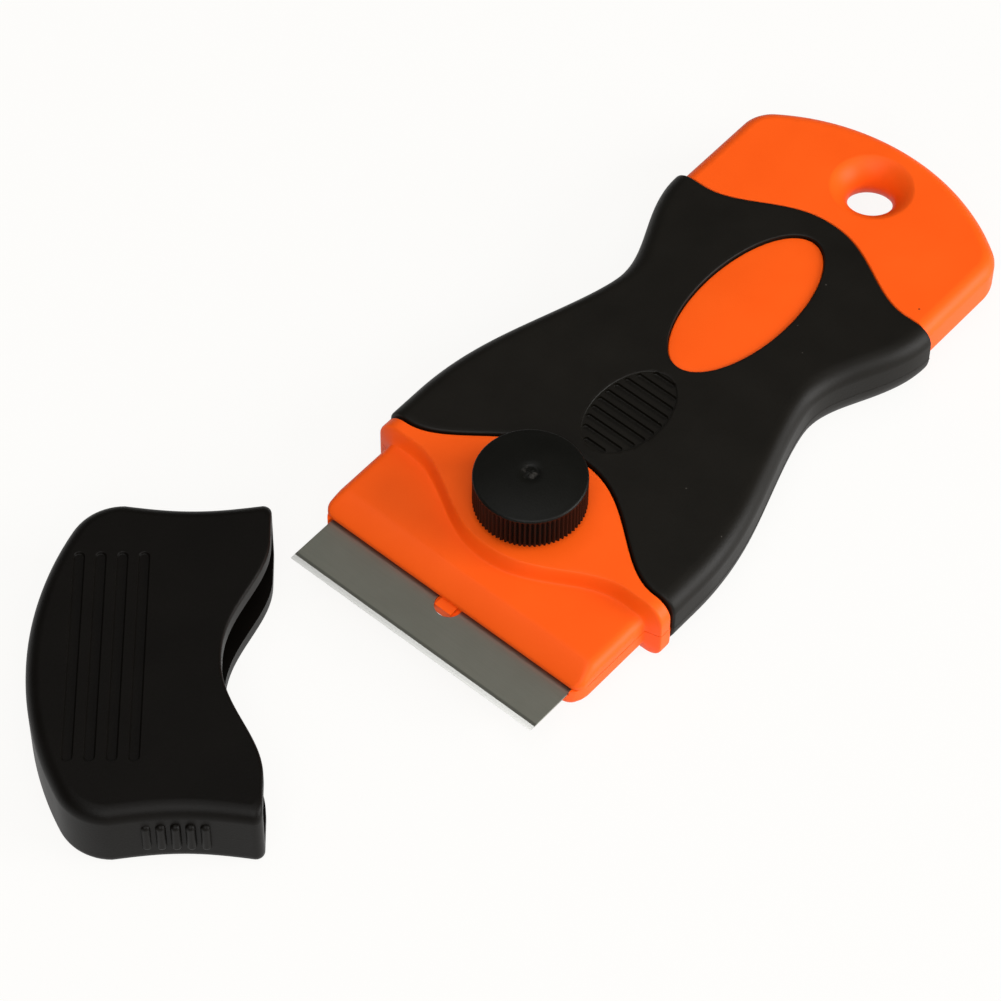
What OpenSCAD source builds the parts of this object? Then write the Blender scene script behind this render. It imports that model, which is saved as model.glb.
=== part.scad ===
// Razor blade scraper: a waisted two-shot handle whose screw-down jaw holds a flat single-edge
// blade, with its slip-on blade cap lying beside it on the table.
// The origin is on the centre line under the thumb patch, at table height.
// +X runs back to the hanging hole, +Y to the side where the cap lies, +Z up.

/* [Blade] */
// Width of the blade along its cutting edge
blade_w = 38.5; // [34:0.5:42]
// Depth of the blade from cutting edge to back
blade_d = 17.8; // [16:0.1:20]
// Thickness of the blade
blade_t = 0.25; // [0.2:0.05:0.4]
// How far the cutting edge stands out of the clamp plate
blade_out = 7.1; // [4:0.1:8]
// Width of the ground bevel
bevel_w = 0.7; // [0.4:0.1:1.2]
// Radius of the locating hole
blade_hole_r = 1.85; // [1.5:0.05:2.2]

/* [Jaw] */
// Thickness of the closed jaw
jaw_t = 5.6; // [4.8:0.1:6.4]
// Length of the clamp plate at its sides, from its front to the collar
jaw_len = 13; // [10:0.1:16]
// How far the lower jaw reaches ahead of the clamp plate
jaw_lead = 1.2; // [0.5:0.1:3]
// Wall beside the blade
jaw_wall = 1.2; // [0.8:0.1:2]
// Plan radius of the lower jaw's front corners
jaw_corner_r = 3.2; // [1:0.1:5]
// Plan radius of the clamp plate's front corners
plate_corner_r = 1.4; // [0.8:0.1:3]
// Radius of the jaw's long edges
jaw_edge_r = 1.4; // [0.6:0.1:2]
// Length of the sloping nose of the clamp plate
nose_len = 3.2; // [1:0.1:5]
// Height of the lip that the nose leaves on the blade
nose_lip = 0.5; // [0.2:0.1:1]

/* [Collar] */
// How far the collar stands out beside the jaw
collar_lip = 2.1; // [1:0.1:3]
// Length of the collar at its sides
collar_len = 2.2; // [2:0.1:4]
// How far the collar's lobe comes forward on the centre line
step_reach = 6.1; // [3:0.1:8]
// Half width of that lobe
step_half_w = 17; // [12:0.5:20]
// Radius of the collar's long edges
collar_edge_r = 2.6; // [1:0.1:3]

/* [Grip] */
// Thickness of the handle over the grip
grip_t = 10.05; // [9.6:0.05:13]
// How far the grip stands out beside the collar
grip_proud = 0.2; // [0.2:0.05:1]
// Width over the waist
waist_w = 31.4; // [26:0.2:36]
// Width over the heel of the grip
heel_w = 41.8; // [38:0.2:46]
// Distance from the grip's front corner back to the waist
waist_back = 35.8; // [34:0.1:44]
// Distance from the waist back to the heel corner
heel_back = 18.2; // [17:0.1:24]
// Radius of the grip's upper long edges
grip_edge_r = 2.4; // [1.5:0.1:3.5]
// Radius of the grip's lower long edges
grip_low_r = 5; // [2:0.1:5.5]
// How far the bare collar runs back into the grip on the centre line
front_reach = 9.6; // [5:0.1:11]
// Half width of that lobe
front_half_w = 20; // [14:0.5:21]
// How far the grip runs back over the butt on the centre line
rear_reach = 5.8; // [2:0.1:8]
// Half width of that lobe
rear_half_w = 16.5; // [10:0.5:19]

/* [Window and thumb patch] */
// Length of the oval window
window_len = 27.3; // [20:0.1:30]
// Width of the oval window
window_w = 12.5; // [8:0.1:15]
// Distance from the waist back to the window's centre
window_back = 6.5; // [4:0.1:8]
// Distance from the grip's front corner back to the thumb patch's centre
thumb_back = 19.5; // [18:0.1:21]
// Length of the thumb patch
thumb_len = 15.8; // [10:0.1:18]
// Width of the thumb patch
thumb_w = 7.8; // [5:0.1:12]
// Distance from one thumb rib to the next
thumb_pitch = 1.75; // [1.4:0.05:3]
// Depth of the thumb grooves
thumb_depth = 0.45; // [0.2:0.05:0.8]

/* [Butt] */
// Thickness of the butt
butt_t = 6.8; // [5.6:0.1:8]
// How far the butt lies inside the heel at each side
butt_set_in = 0.9; // [0.4:0.1:2]
// Length of the bare butt from heel corner to end
butt_len = 22.6; // [20:0.1:32]
// Radius of the arched end
butt_arch_r = 30; // [28:1:80]
// Plan radius of the butt's corners
butt_corner_r = 5.2; // [3:0.1:8]
// Radius of the butt's long edges
butt_edge_r = 2; // [1:0.1:3]
// Distance from the hanging hole to the end of the butt
hole_inset = 8.4; // [7:0.1:12]
// Radius of the hanging hole's throat
hole_r = 2.95; // [2:0.05:4]

/* [Knob and screw] */
// Diameter of the knob
knob_d = 14.2; // [13:0.1:18]
// Height of the knurled rim
knob_h = 5.8; // [4.6:0.1:8]
// Diameter of the threaded stud
stud_d = 5; // [4:0.5:5]
// Number of ribs round the knob
knob_ribs = 72; // [36:4:96]
// Width across the flats of the captive nut
nut_af = 8; // [7:0.5:9]
// Thickness of the captive nut
nut_t = 2.7; // [2:0.1:3]

/* [Cap] */
// Thickness of the cap
cap_t = 10.6; // [9.8:0.1:13]
// Distance from the cutting edge to the end of the cap when the cap is on
cap_front = 9.6; // [6:0.1:14]
// How much the cap's sides are drawn in at their waist
cap_waist = 0.8; // [0:0.1:1]
// Radius of the arched closed end
cap_arch_r = 42; // [34:1:80]
// Plan radius of the closed end's corners
cap_corner_r = 7; // [4:0.1:9]
// Radius of the cap's long edges
cap_edge_r = 1.9; // [0.8:0.1:2.2]
// How far ahead of the cutting edge the middle of the cap's mouth lies
cap_lay_x = 14.6; // [14:0.1:40]
// How far to the side the middle of the cap's mouth lies
cap_lay_y = 8.15; // [8:0.05:30]
// How far the cap lies turned from the scraper's own direction
cap_turn = -48.85; // [-60:0.05:-40]

/* [Hidden] */
$fn = 64;

// Colours
core_orange = [0.95, 0.12, 0.02];
grip_black = [0.03, 0.03, 0.03];
steel_grey = [0.55, 0.55, 0.52];

// Facets of the lofted forms
edge_steps = 3;
line_steps = 22;
side_steps = 22;
corner_steps = 5;

// Clearances between pieces
cut_over = 1; // overrun of every cut
weld = 0.8; // overlap of forms that belong to one moulding
seam_gap = 0.08; // witness line between bare core and grip
slide_gap = 0.2; // clamp plate beside the grip
clamp_gap = 0.12; // closed jaw's parting line
press_gap = 0.03; // clamp plate over the blade
blade_gap = 0.15; // blade in its recess
thread_gap = 0.05; // stud in nut
stud_gap = 0.2; // stud in its clearance bores
nut_gap = 0.1; // nut in its pocket
peg_gap = 0.15; // clamp plate round the peg
knob_gap = 0.06; // knob over the collar
cap_gap = 0.3; // cap over jaw and collar

// Small sizes of single pieces
collar_sink = 0.2; // collar faces below grip faces
riser_half = 0.7; // half the run of the collar's soft riser
collar_corner_r = 1; // plan radius of the collar's corners
recess_d = 0.7; // depth of the blade recess
blade_drop = 0.42; // blade below the middle of the handle
blade_stop = 1.75; // wall between blade recess and stud bore
peg_w = 2.5; // square peg that stands in the blade's hole
peg_rise = 0.35; // peg above the blade
pad_back = 0.4; // pressing pad behind the plate's lip
grip_wall = 2.2; // grip beside the core
grip_skin = 1.8; // grip over and under the core
link_step = 0.4; // core's necks inside the forms that they join
pad_sink = 0.25; // window below the grip's face
belly_len = 31; // from waist forward to the widest place
groove_w = 0.95; // thumb groove
butt_sink = 0.3; // butt's face below the grip's face
throat_len = 2.2; // straight wall of the hanging hole
dish_w = 1.3; // rounded rim of the hanging hole
hub_d = 9.6; // knob's hub
hub_h = 0.9;
knob_top_r = 0.5;
knurl_d = 0.25;
head_af = 8; // stud head moulded into the knob
head_t = 2.6;
stud_end = 0.7; // stud's tip above the table
cap_tip_r = 1.1; // plan radius of the cap's mouth tips
cap_tip_gap = 1; // mouth tips ahead of the collar
cap_rib_r = 0.55; // grip ribs on the cap's sides
cap_rib_h = 5;
cap_rib_pitch = 1.75;
cap_ribs = 5;
cap_rib_inset = 18.5; // middle rib from the closed end
cap_groove_r = 0.9; // long grooves on the cap's faces
cap_groove_d = 0.3;
cap_groove_len = 30;
cap_groove_pitch = 2.62;
cap_grooves = 4;
cap_groove_inset = 5.7; // first groove from the closed end

// Curve shapes, plain numbers
lobe_power = 1.1;
front_power = 1.2;
belly_power = 0.78;
plate_nose_power = 1.25;
jaw_nose_power = 2;

// Half widths
jaw_half = blade_w / 2 + blade_gap + jaw_wall;
collar_half = jaw_half + collar_lip;
grip_half = collar_half + grip_proud;
waist_half = waist_w / 2;
heel_half = heel_w / 2;
butt_half = heel_half - butt_set_in;
cap_half = collar_half + cap_gap / 2;
link_half = grip_half - 2 * grip_wall;

// Places along X
collar_x = -thumb_back; // front corner of the grip
step_x = collar_x - collar_len; // collar's front at the sides
jaw_x = step_x - jaw_len; // front of the jaw
edge_x = jaw_x - blade_out; // cutting edge
waist_x = collar_x + waist_back;
heel_x = waist_x + heel_back;
end_x = heel_x + butt_len;
window_x = waist_x + window_back;
hole_x = end_x - hole_inset;
stud_x = edge_x + blade_d + blade_gap + blade_stop + stud_d / 2 + stud_gap;
cap_end_x = edge_x - cap_front;

// Heights
mid_z = grip_t / 2;
collar_low = collar_sink;
collar_top = grip_t - collar_sink;
jaw_low = mid_z - jaw_t / 2;
jaw_top = mid_z + jaw_t / 2;
blade_z = mid_z - blade_drop;
part_z = blade_z + recess_d;
butt_top = grip_t - butt_sink;
butt_low = butt_top - butt_t;
hub_z = collar_top + knob_gap;
rim_z = hub_z + hub_h;
knob_top = rim_z + knob_h;
pocket_top = grip_skin + nut_t / 2;
nut_z = pocket_top - nut_gap - nut_t;
head_z = rim_z + (knob_h - head_t) / 2;

// Height of a half cosine hump: 1 on the centre line, 0 from its half width outwards
function hump(y, half_w, power) =
    abs(y) >= half_w ? 0 : (1 + cos(180 * pow(abs(y) / half_w, power))) / 2;

// The S-shaped lines across the handle
function step_line(y) = step_x - step_reach * hump(y, step_half_w, lobe_power);
function front_line(y) = collar_x + front_reach * hump(y, front_half_w, front_power);
function rear_line(y) = heel_x + rear_reach * hump(y, rear_half_w, lobe_power);

// The cap's mouth follows the collar's line, with a little more room at its tips
function mouth_line(y) = step_x - cap_tip_gap
    - (step_reach - cap_tip_gap + cap_gap) * hump(y, step_half_w, lobe_power);

// Half width of the grip along its length
function ease(t) = (1 - cos(180 * min(max(t, 0), 1))) / 2;
function grip_side(x) = x < waist_x
    ? waist_half + (grip_half - waist_half) * ease(pow((waist_x - x) / belly_len, belly_power))
    : waist_half + (heel_half - waist_half) * ease((x - waist_x) / heel_back);

// Points at even steps from one value to another, with and without the two ends, and along an arc
function steps(a, b, count) = [for (k = [0 : count]) a + (b - a) * k / count];
function between(a, b, count) = [for (k = [1 : count - 1]) a + (b - a) * k / count];
function arc(centre, r, a, b, count) =
    [for (t = steps(a, b, count)) centre + r * [cos(t), sin(t)]];
function oval(len, w, count) =
    [for (k = [0 : count - 1]) [len / 2 * cos(360 * k / count), w / 2 * sin(360 * k / count)]];

// How far a quarter-round edge has drawn in at height z under a top face
function edge_inset(z, top, r) =
    z <= top - r ? 0 : r - sqrt(max(0, r * r - pow(z - top + r, 2)));

// Inset and height pairs up a section with both edges rounded
function round_levels(low, top, low_r, top_r) = concat(
    [for (a = steps(0, 90, edge_steps)) [low_r * (1 - sin(a)), low + low_r * (1 - cos(a))]],
    [for (a = steps(0, 90, edge_steps)) [top_r * (1 - cos(a)), top - top_r * (1 - sin(a))]]);

// Arched end towards +X with rounded corners, from its -Y side to its +Y side
function arched_end(x, half_w, arch_r, corner_r, inset) =
    let (
        run = sqrt(pow(arch_r - corner_r, 2) - pow(half_w - corner_r, 2)),
        turn = atan2(half_w - corner_r, run),
        centre = [x - arch_r, 0],
        side = [run, half_w - corner_r],
        low_side = [run, corner_r - half_w])
    concat(
        arc(centre + low_side, corner_r - inset, -90, -turn, corner_steps),
        [for (t = between(-turn, turn, line_steps)) centre + (arch_r - inset) * [cos(t), sin(t)]],
        arc(centre + side, corner_r - inset, turn, 90, corner_steps));

function mirrored_x(points) = [for (p = points) [-p.x, p.y]];
function at_height(points, z) = [for (p = points) [p.x, p.y, z]];

// Plan outlines, anticlockwise seen from above
function jaw_plan(back, inset, corner_r) =
    let (
        half = jaw_half - inset,
        x = jaw_x + back + corner_r,
        y = half - corner_r)
    concat([[step_x + weld, half]],
        arc([x, y], corner_r, 90, 180, corner_steps),
        arc([x, -y], corner_r, 180, 270, corner_steps),
        [[step_x + weld, -half]]);

function collar_plan(shift, inset, gap) =
    let (
        half = collar_half - inset,
        r = collar_corner_r,
        x = step_x + shift + r)
    concat(
        [for (y = steps(-half, half, line_steps)) [front_line(y) - gap, y]],
        arc([x, half - r], r, 90, 180, corner_steps),
        [for (y = between(half - r, r - half, line_steps)) [step_line(y) + shift, y]],
        arc([x, r - half], r, 180, 270, corner_steps));

function grip_plan(inset) =
    let (
        front = front_line(grip_half) + seam_gap,
        rear = rear_line(heel_half) - seam_gap,
        front_half = grip_side(front) - inset,
        rear_half = grip_side(rear) - inset)
    concat(
        [for (y = steps(-rear_half, rear_half, line_steps)) [rear_line(y) - seam_gap, y]],
        [for (x = between(rear, front, side_steps)) [x, grip_side(x) - inset]],
        [for (y = steps(front_half, -front_half, line_steps)) [front_line(y) + seam_gap, y]],
        [for (x = between(front, rear, side_steps)) [x, inset - grip_side(x)]]);

function insert_plan(wall, front_gap, rear_gap) =
    let (
        front = front_line(grip_half) + front_gap,
        rear = rear_line(heel_half) + rear_gap,
        front_half = grip_side(front) - wall,
        rear_half = grip_side(rear) - wall)
    concat(
        [for (y = steps(-rear_half, rear_half, line_steps)) [rear_line(y) + rear_gap, y]],
        [for (x = between(rear, front, side_steps)) [x, grip_side(x) - wall]],
        [for (y = steps(front_half, -front_half, line_steps)) [front_line(y) + front_gap, y]],
        [for (x = between(front, rear, side_steps)) [x, wall - grip_side(x)]]);

function butt_plan(inset) =
    let (half = butt_half - inset)
    concat(arched_end(end_x, butt_half, butt_arch_r, butt_corner_r, inset),
        [for (y = steps(half, -half, line_steps)) [rear_line(y) + seam_gap, y]]);

// Half width of the cap from its mouth (0) to where its closed corners start (1)
function cap_side(t) = cap_half - cap_waist * sin(180 * t);

function cap_plan(inset) =
    let (
        closed = mirrored_x(arched_end(-cap_end_x, cap_half, cap_arch_r, cap_corner_r, inset)),
        corner_x = closed[0].x,
        mouth_x = step_x - cap_tip_gap - cap_tip_r,
        tip = cap_half - inset - cap_tip_r,
        run = [for (t = between(0, 1, side_steps))
            [mouth_x + (corner_x - mouth_x) * t, cap_side(t) - inset]])
    concat(
        arc([mouth_x, -tip], cap_tip_r, -90, 0, corner_steps),
        [for (y = between(-tip, tip, line_steps)) [mouth_line(y), y]],
        arc([mouth_x, tip], cap_tip_r, 0, 90, corner_steps),
        run,
        [for (k = [1 : len(closed)]) closed[len(closed) - k]],
        [for (k = [1 : len(run)]) [run[len(run) - k].x, -run[len(run) - k].y]]);

// Triangles that fill an anticlockwise outline, found by cutting off one ear after another
function turn_of(a, b, c) = (b.x - a.x) * (c.y - a.y) - (b.y - a.y) * (c.x - a.x);
function covers(a, b, c, p) =
    turn_of(a, b, p) >= 0 && turn_of(b, c, p) >= 0 && turn_of(c, a, p) >= 0;
function corner(left, k) =
    let (n = len(left)) [left[(k + n - 1) % n], left[k], left[(k + 1) % n]];
function is_ear(points, left, k) =
    let (
        t = corner(left, k),
        a = points[t[0]],
        b = points[t[1]],
        c = points[t[2]])
    turn_of(a, b, c) > 0
    && len([for (q = left) if (q != t[0] && q != t[1] && q != t[2] && covers(a, b, c, points[q])) q]) == 0;
function first_ear(points, left, k = 0) =
    k >= len(left) - 1 || is_ear(points, left, k) ? k : first_ear(points, left, k + 1);
function fill(points, left) = len(left) == 3 ? [left] :
    let (k = first_ear(points, left))
    concat([corner(left, k)], fill(points, [for (i = [0 : len(left) - 1]) if (i != k) left[i]]));

// Closed solid through a stack of rings that have the same number of points
module loft(rings) {
    count = len(rings[0]);
    last = len(rings) - 1;
    ring = [for (i = [0 : count - 1]) i];
    top = last * count;
    polyhedron(
        points = [for (r = rings) each r],
        faces = concat(
            fill(rings[0], ring),
            [for (t = fill(rings[last], ring)) [top + t[2], top + t[1], top + t[0]]],
            [for (k = [0 : last - 1], i = [0 : count - 1]) each
                let (
                    j = (i + 1) % count,
                    low = k * count,
                    high = low + count)
                [[low + i, high + i, high + j], [low + i, high + j, low + j]]]));
}

module slab(low, top) {
    translate([0, 0, low]) linear_extrude(height = top - low) children();
}

// A hexagon by its width across the flats
module hexagon(af) {
    circle(d = af / cos(30), $fn = 6);
}

// Half of the jaw, lying with its face up from the given height. Its nose is a quarter ellipse at a
// power of 2, and a slope with a soft crown near a power of 1.
module jaw_shell(low, top, lead, nose, power, corner_r) {
    rise = top - low - nose_lip;
    levels = steps(0, 90, edge_steps + edge_steps);
    loft(concat(
        [at_height(jaw_plan(-lead, 0, corner_r), low)],
        [for (a = levels)
            let (
                z = low + nose_lip + rise * pow(1 - pow(cos(a), power), 1 / power),
                back = nose * (1 - cos(a)) - lead)
            at_height(jaw_plan(back, edge_inset(z, top, jaw_edge_r), corner_r), z)]));
}

// Half of the collar, lying with its face up, with the soft riser down to the jaw
module collar_shell(low, foot, top, gap) {
    levels = steps(0, 180, edge_steps + edge_steps);
    loft(concat(
        [at_height(collar_plan(-riser_half, 0, gap), low)],
        [for (k = [0 : len(levels) - 1])
            let (
                z = foot + (top - foot) * (1 - cos(levels[k])) / 2,
                shift = riser_half * (k / edge_steps - 1))
            at_height(collar_plan(shift, edge_inset(z, top, collar_edge_r), gap), z)]));
}

// Turns a form that lies face up over to lie face down about the middle of the handle
module face_down() {
    translate([0, 0, grip_t]) mirror([0, 0, 1]) children();
}

module window_oval(grow) {
    translate([window_x, 0]) polygon(oval(window_len + grow, window_w + grow, 4 * line_steps));
}

// The part of the core that the grip is moulded round
module insert_form() {
    slab(grip_skin, grip_t - grip_skin) polygon(insert_plan(grip_wall, grip_wall, -grip_wall));
    slab(butt_low + link_step, grip_t - grip_skin - link_step)
        polygon(insert_plan(2 * grip_wall, 2 * grip_wall, weld));
    slab(grip_skin + link_step, part_z - link_step) translate([collar_x - weld, -link_half])
        square([front_reach + 2 * grip_wall, 2 * link_half]);
}

// Rounded rims and straight throat of the hanging hole
module hanging_hole() {
    rim = (butt_t - throat_len) / 2;
    curve = [for (a = steps(0, 90, corner_steps))
        [hole_r + dish_w * (1 - cos(a)), throat_len / 2 + rim * sin(a)]];
    wide = hole_r + dish_w;
    face = butt_t / 2;
    translate([hole_x, 0, butt_low + face]) {
        cylinder(h = butt_t + cut_over, r = hole_r, center = true);
        for (side = [0, 1]) mirror([0, 0, side]) rotate_extrude() polygon(concat(
            [[0, throat_len / 2]], curve, [[wide, face + cut_over], [0, face + cut_over]]));
    }
}

module handle_core() {
    recess_half = blade_w / 2 + blade_gap;
    color(core_orange) {
        difference() {
            union() {
                difference() {
                    face_down() {
                        jaw_shell(grip_t - part_z - cut_over, jaw_top, jaw_lead, jaw_edge_r,
                            jaw_nose_power, jaw_corner_r);
                        collar_shell(grip_t - part_z - cut_over, jaw_top, collar_top, seam_gap);
                    }
                    slab(part_z, grip_t) square(2 * end_x - 2 * cap_end_x, center = true);
                }
                insert_form();
                slab(pad_sink, grip_t - pad_sink) window_oval(0);
                loft([for (level = round_levels(butt_low, butt_top, butt_edge_r, butt_edge_r))
                    at_height(butt_plan(level[0]), level[1])]);
            }
            slab(blade_z, part_z + cut_over)
                translate([edge_x, -recess_half]) square([blade_d + blade_gap, 2 * recess_half]);
            translate([stud_x, 0, -cut_over])
                cylinder(h = part_z + 2 * cut_over, r = stud_d / 2 + stud_gap);
            slab(-cut_over, pocket_top) translate([stud_x, 0]) hexagon(nut_af + 2 * nut_gap);
            hanging_hole();
        }
        slab(blade_z - weld, blade_z + blade_t + peg_rise)
            translate([jaw_x, 0]) square(peg_w, center = true);
    }
}

module grip_overmold() {
    first = -thumb_pitch * floor(thumb_len / thumb_pitch / 2);
    color(grip_black) difference() {
        loft([for (level = round_levels(0, grip_t, grip_low_r, grip_edge_r))
            at_height(grip_plan(level[0]), level[1])]);
        insert_form();
        slab(-cut_over, grip_t + cut_over) window_oval(2 * seam_gap);
        for (x = [first : thumb_pitch : -first])
            let (chord = thumb_w * sqrt(1 - pow(2 * x / thumb_len, 2)))
            slab(grip_t - thumb_depth, grip_t + cut_over)
                translate([x, 0]) square([groove_w, chord], center = true);
    }
}

module captive_nut() {
    color(steel_grey) slab(nut_z, nut_z + nut_t) translate([stud_x, 0]) difference() {
        hexagon(nut_af);
        circle(r = stud_d / 2 + thread_gap);
    }
}

module blade() {
    side = [[0, blade_t / 2], [bevel_w, 0], [blade_d, 0], [blade_d, blade_t], [bevel_w, blade_t]];
    color(steel_grey) difference() {
        translate([edge_x, blade_w / 2, blade_z])
            rotate([90, 0, 0]) linear_extrude(height = blade_w) polygon(side);
        translate([jaw_x, 0, blade_z - cut_over])
            cylinder(h = blade_t + 2 * cut_over, r = blade_hole_r);
    }
}

module clamp_plate() {
    low = part_z + clamp_gap;
    blade_top = blade_z + blade_t;
    pad_half = blade_w / 2 - blade_gap;
    color(core_orange) difference() {
        union() {
            difference() {
                union() {
                    jaw_shell(low - cut_over, jaw_top, 0, nose_len, plate_nose_power, plate_corner_r);
                    collar_shell(low - cut_over, jaw_top, collar_top, slide_gap);
                }
                slab(0, low) square(2 * end_x - 2 * cap_end_x, center = true);
            }
            slab(blade_top + press_gap, low + nose_lip)
                translate([jaw_x + pad_back, plate_corner_r - pad_half])
                    square([blade_d - blade_out - blade_gap - pad_back, 2 * (pad_half - plate_corner_r)]);
        }
        slab(blade_z, blade_top + peg_rise + peg_gap)
            translate([jaw_x, 0]) square(peg_w + 2 * peg_gap, center = true);
        translate([stud_x, 0, blade_z - cut_over])
            cylinder(h = grip_t, r = stud_d / 2 + stud_gap);
    }
}

module knob() {
    r = knob_d / 2;
    outline = [for (k = [0 : 2 * knob_ribs - 1])
        (r - knurl_d * (k % 2)) * [cos(180 * k / knob_ribs), sin(180 * k / knob_ribs)]];
    core_r = r - 2 * knurl_d;
    profile = concat([[0, rim_z + weld], [core_r, rim_z + weld]],
        arc([core_r - knob_top_r, knob_top - knob_top_r], knob_top_r, 0, 90, edge_steps),
        [[0, knob_top]]);
    color(grip_black) translate([stud_x, 0]) difference() {
        union() {
            slab(rim_z, knob_top - knob_top_r) polygon(outline);
            rotate_extrude() polygon(profile);
            slab(hub_z, rim_z + weld) circle(d = hub_d);
        }
        slab(hub_z - cut_over, head_z + weld) circle(d = stud_d);
        slab(head_z, head_z + head_t) hexagon(head_af);
    }
}

module knob_stud() {
    color(steel_grey) translate([stud_x, 0]) {
        slab(stud_end, head_z + weld) circle(d = stud_d);
        slab(head_z, head_z + head_t) hexagon(head_af);
    }
}

// The cap as it sits on the closed jaw
module cap_on_jaw() {
    low = mid_z - cap_t / 2;
    top = mid_z + cap_t / 2;
    room_half = jaw_half + cap_gap;
    room_end = arched_end(-cap_end_x, cap_half, cap_arch_r, cap_corner_r, cap_half - room_half);
    rib_x = cap_end_x + cap_rib_inset;
    difference() {
        union() {
            loft([for (level = round_levels(low, top, cap_edge_r, cap_edge_r))
                at_height(cap_plan(level[0]), level[1])]);
            for (side = [-1, 1], k = [0 : cap_ribs - 1])
                translate([rib_x + cap_rib_pitch * (k - (cap_ribs - 1) / 2),
                    side * (cap_half - cap_waist), mid_z])
                    cylinder(h = cap_rib_h, r = cap_rib_r, center = true);
        }
        slab(jaw_low - cap_gap, jaw_top + cap_gap) polygon(concat(
            [[step_x + cut_over, room_half], [step_x + cut_over, -room_half]], mirrored_x(room_end)));
        for (k = [0 : cap_grooves - 1])
            translate([cap_end_x + cap_groove_inset + cap_groove_pitch * k, 0,
                top + cap_groove_r - cap_groove_d])
                rotate([90, 0, 0]) cylinder(h = cap_groove_len, r = cap_groove_r, center = true);
    }
}

module blade_cap() {
    color(grip_black)
        translate([edge_x - cap_lay_x, cap_lay_y, cap_t / 2 - mid_z])
            rotate([0, 0, cap_turn]) translate([-step_x, 0, 0]) cap_on_jaw();
}

handle_core();
grip_overmold();
captive_nut();
blade();
clamp_plate();
knob();
knob_stud();
blade_cap();
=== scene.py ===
"""Razor blade scraper and its blade cap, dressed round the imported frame."""
import math

import bpy
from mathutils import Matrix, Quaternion, Vector


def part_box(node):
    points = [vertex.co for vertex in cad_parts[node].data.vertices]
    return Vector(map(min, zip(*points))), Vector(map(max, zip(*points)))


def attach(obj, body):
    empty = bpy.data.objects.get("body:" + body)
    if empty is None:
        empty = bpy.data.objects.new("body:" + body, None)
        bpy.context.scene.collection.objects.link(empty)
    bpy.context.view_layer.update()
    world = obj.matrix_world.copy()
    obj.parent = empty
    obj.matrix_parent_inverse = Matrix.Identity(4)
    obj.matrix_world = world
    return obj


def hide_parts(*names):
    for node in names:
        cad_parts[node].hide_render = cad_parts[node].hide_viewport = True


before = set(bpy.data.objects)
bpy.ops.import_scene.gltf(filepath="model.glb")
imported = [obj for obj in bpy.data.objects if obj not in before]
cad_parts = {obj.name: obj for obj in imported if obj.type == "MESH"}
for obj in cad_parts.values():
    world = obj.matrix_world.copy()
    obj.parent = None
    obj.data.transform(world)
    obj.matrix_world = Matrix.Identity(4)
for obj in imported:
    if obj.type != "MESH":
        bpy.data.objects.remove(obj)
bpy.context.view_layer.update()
bpy.ops.object.select_all(action="DESELECT")

# Handle core
# One orange moulding of tough plastic: the lower jaw and collar, a tongue that runs back inside the
# grip, the domed pads that show in the grip's windows, and the butt with its hanging hole. It is
# moulded first, and the rubber grip is then moulded round it.
MM = 0.001


def corners(node):
    """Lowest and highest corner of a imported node, in millimetres."""
    return [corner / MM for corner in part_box(node)]


core_high = corners("handle_core")[1]
grip_low, grip_high = corners("grip_overmold")
clamp_low, clamp_high = corners("clamp_plate")
blade_low, blade_high = corners("blade")
nut_low, nut_high = corners("captive_nut")
stud_low, stud_high = corners("knob_stud")

weld = 0.8
over = 1
seam = 0.08
fine_edge = 0.25
mouth_run = 1.4
face_steps = 72
mid_z = grip_high.z / 2
part_z = blade_low.z + 0.7

jaw_x = clamp_low.x
jaw_lead = 1.2
jaw_half = blade_high.y + 1.35
jaw_face = 2.8
jaw_edge = 1.4
jaw_corner = 3.2
jaw_lip = 0.1
jaw_nose_power = 2
collar_x = grip_low.x - seam
collar_half = clamp_high.y
collar_face = clamp_high.z - mid_z
collar_edge = 2.6
step_x = collar_x - 2.2
step_reach = 6.1
step_half = 17
step_run = 0.55
ear_share = 0.75
front_reach = 9.6
front_half = 20

grip_half = grip_high.y
belly_len = 31
waist_x = collar_x + 35.8
waist_half = 15.7
heel_half = 20.9
rear_reach = 5.8
rear_half = 16.5
heel_x = grip_high.x + seam - rear_reach
grip_wall = 2.2
grip_skin = 1.8
link_step = 0.4
link_half = grip_half - 2 * grip_wall
lobe_power = 1.1
front_power = 1.2
belly_power = 0.78

window_x = waist_x + 6.5
window_len = 27.3
window_w = 12.5
pad_face = core_high.z - mid_z
pad_crown = 0.22
pad_rim = 0.2
butt_top = grip_high.z - 0.3
butt_low = butt_top - 6.8
butt_half = heel_half - 0.9
butt_edge = 2
butt_arch = 30
butt_corner = 5.2
hole_x = core_high.x - 8.4
hole_r = 2.95
hole_throat = 0.1
hole_flare = 2.7
hole_power = 1.6

stud_x = (stud_low.x + stud_high.x) / 2
stud_bore = 2.7
pocket_top = nut_high.z + 0.1
pocket_flats = nut_high.y - nut_low.y + 0.2
blade_room = 0.15
peg_half = 1.25
peg_top = blade_high.z + 0.35


def hump(y, half, power):
    """Lobe across the handle: 1 on the centre line, 0 from its half width outwards."""
    return 0 if abs(y) >= half else (1 + math.cos(math.pi * (abs(y) / half) ** power)) / 2


def step_line(y):
    return step_x - step_reach * hump(y, step_half, lobe_power)


def front_line(y):
    return collar_x + front_reach * hump(y, front_half, front_power)


def rear_line(y):
    return heel_x + rear_reach * hump(y, rear_half, lobe_power)


def mix(a, b, t):
    return a + (b - a) * t


def ease(t):
    return (1 - math.cos(math.pi * min(max(t, 0), 1))) / 2


def grip_side(x):
    """Half width of the grip along its length."""
    if x < waist_x:
        return mix(waist_half, grip_half, ease(((waist_x - x) / belly_len) ** belly_power))
    return mix(waist_half, heel_half, ease((x - waist_x) / (heel_x - waist_x)))


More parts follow.
